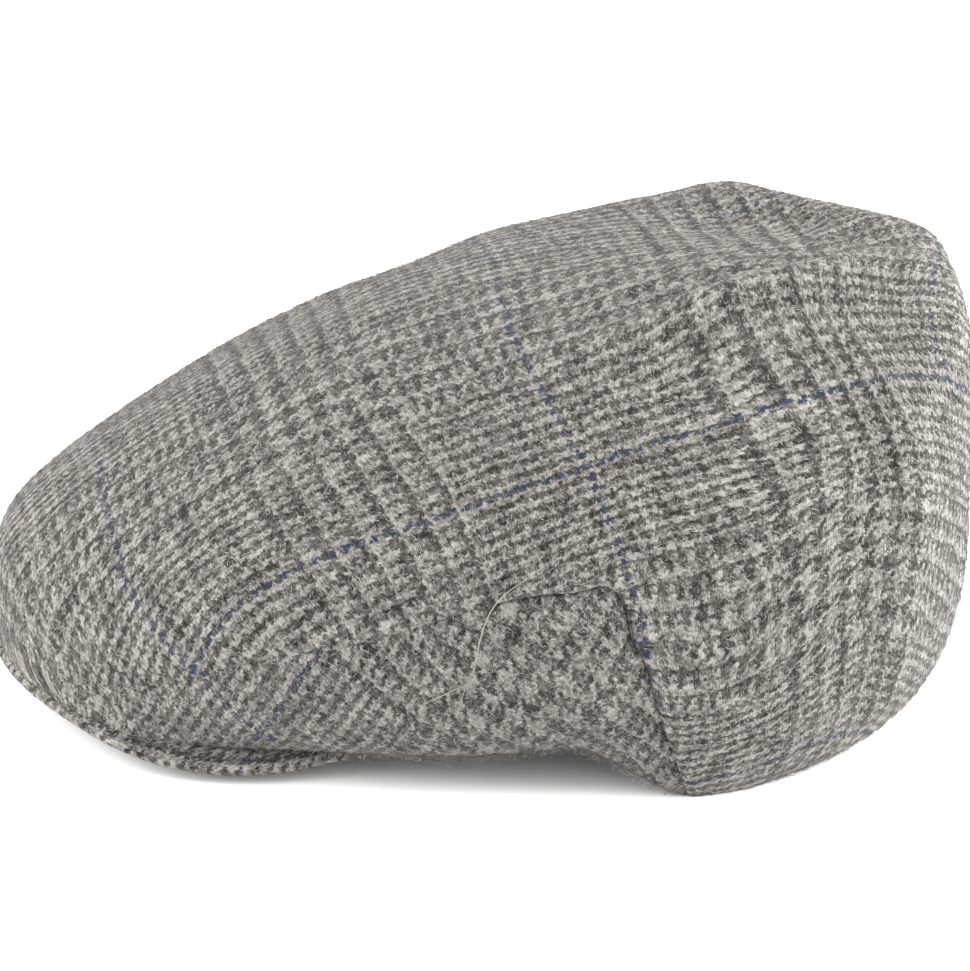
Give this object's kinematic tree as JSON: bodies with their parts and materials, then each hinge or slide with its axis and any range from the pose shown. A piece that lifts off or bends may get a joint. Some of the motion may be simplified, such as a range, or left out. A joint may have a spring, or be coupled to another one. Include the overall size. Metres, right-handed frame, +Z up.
{
  "type": "flat cap",
  "caption": "Flat cap in checked wool tweed: a soft crown that sweeps down over a short stiff peak, with a shaped panel on each temple.",
  "frame": {"origin": "middle of the cap's footprint, on the surface that it rests on", "axes": "+Z up, -Y towards the peak, +X towards the wearer's left"},
  "size_m": [0.1924, 0.2624, 0.129],
  "materials": {
    "tweed": "brushed wool tweed in a grey and dark brown check with a thin navy line, matt and slightly hairy"
  },
  "bodies": {
    "root": {"crown": "tweed", "side_panel_left": "tweed", "side_panel_right": "tweed", "peak": "tweed"}
  },
  "joints": []
}
